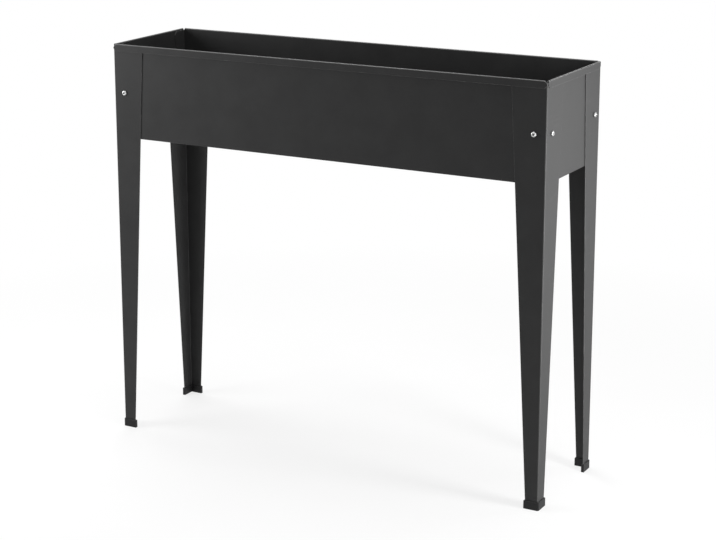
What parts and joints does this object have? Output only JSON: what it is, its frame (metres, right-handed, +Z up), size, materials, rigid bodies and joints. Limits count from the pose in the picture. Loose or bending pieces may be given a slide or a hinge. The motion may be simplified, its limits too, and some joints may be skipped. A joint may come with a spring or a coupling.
{
  "type": "raised garden bed",
  "caption": "Long open sheet-metal planter trough with a folded rim, raised on tapered angle legs that are bolted round its corners and stand on plastic foot caps.",
  "frame": {"origin": "on the floor, under the middle of the trough", "axes": "+Z up, +X along the trough, +Y from the front wall to the rear wall"},
  "size_m": [0.9342, 0.2542, 0.8],
  "materials": {
    "powder_coat": "satin charcoal powder coat",
    "cap_plastic": "matt black moulded plastic",
    "zinc": "bright zinc plate"
  },
  "bodies": {
    "root": {"front_panel": "powder_coat", "rear_panel": "powder_coat", "left_end_panel": "powder_coat", "right_end_panel": "powder_coat", "base_panel": "powder_coat", "leg_front_left": "powder_coat", "leg_front_right": "powder_coat", "leg_rear_left": "powder_coat", "leg_rear_right": "powder_coat", "foot_cap_front_left": "cap_plastic", "foot_cap_front_right": "cap_plastic", "foot_cap_rear_left": "cap_plastic", "foot_cap_rear_right": "cap_plastic", "bolts_front": "zinc", "bolts_rear": "zinc", "bolts_left": "zinc", "bolts_right": "zinc", "nuts_front": "zinc", "nuts_rear": "zinc", "nuts_left": "zinc", "nuts_right": "zinc"}
  },
  "joints": []
}
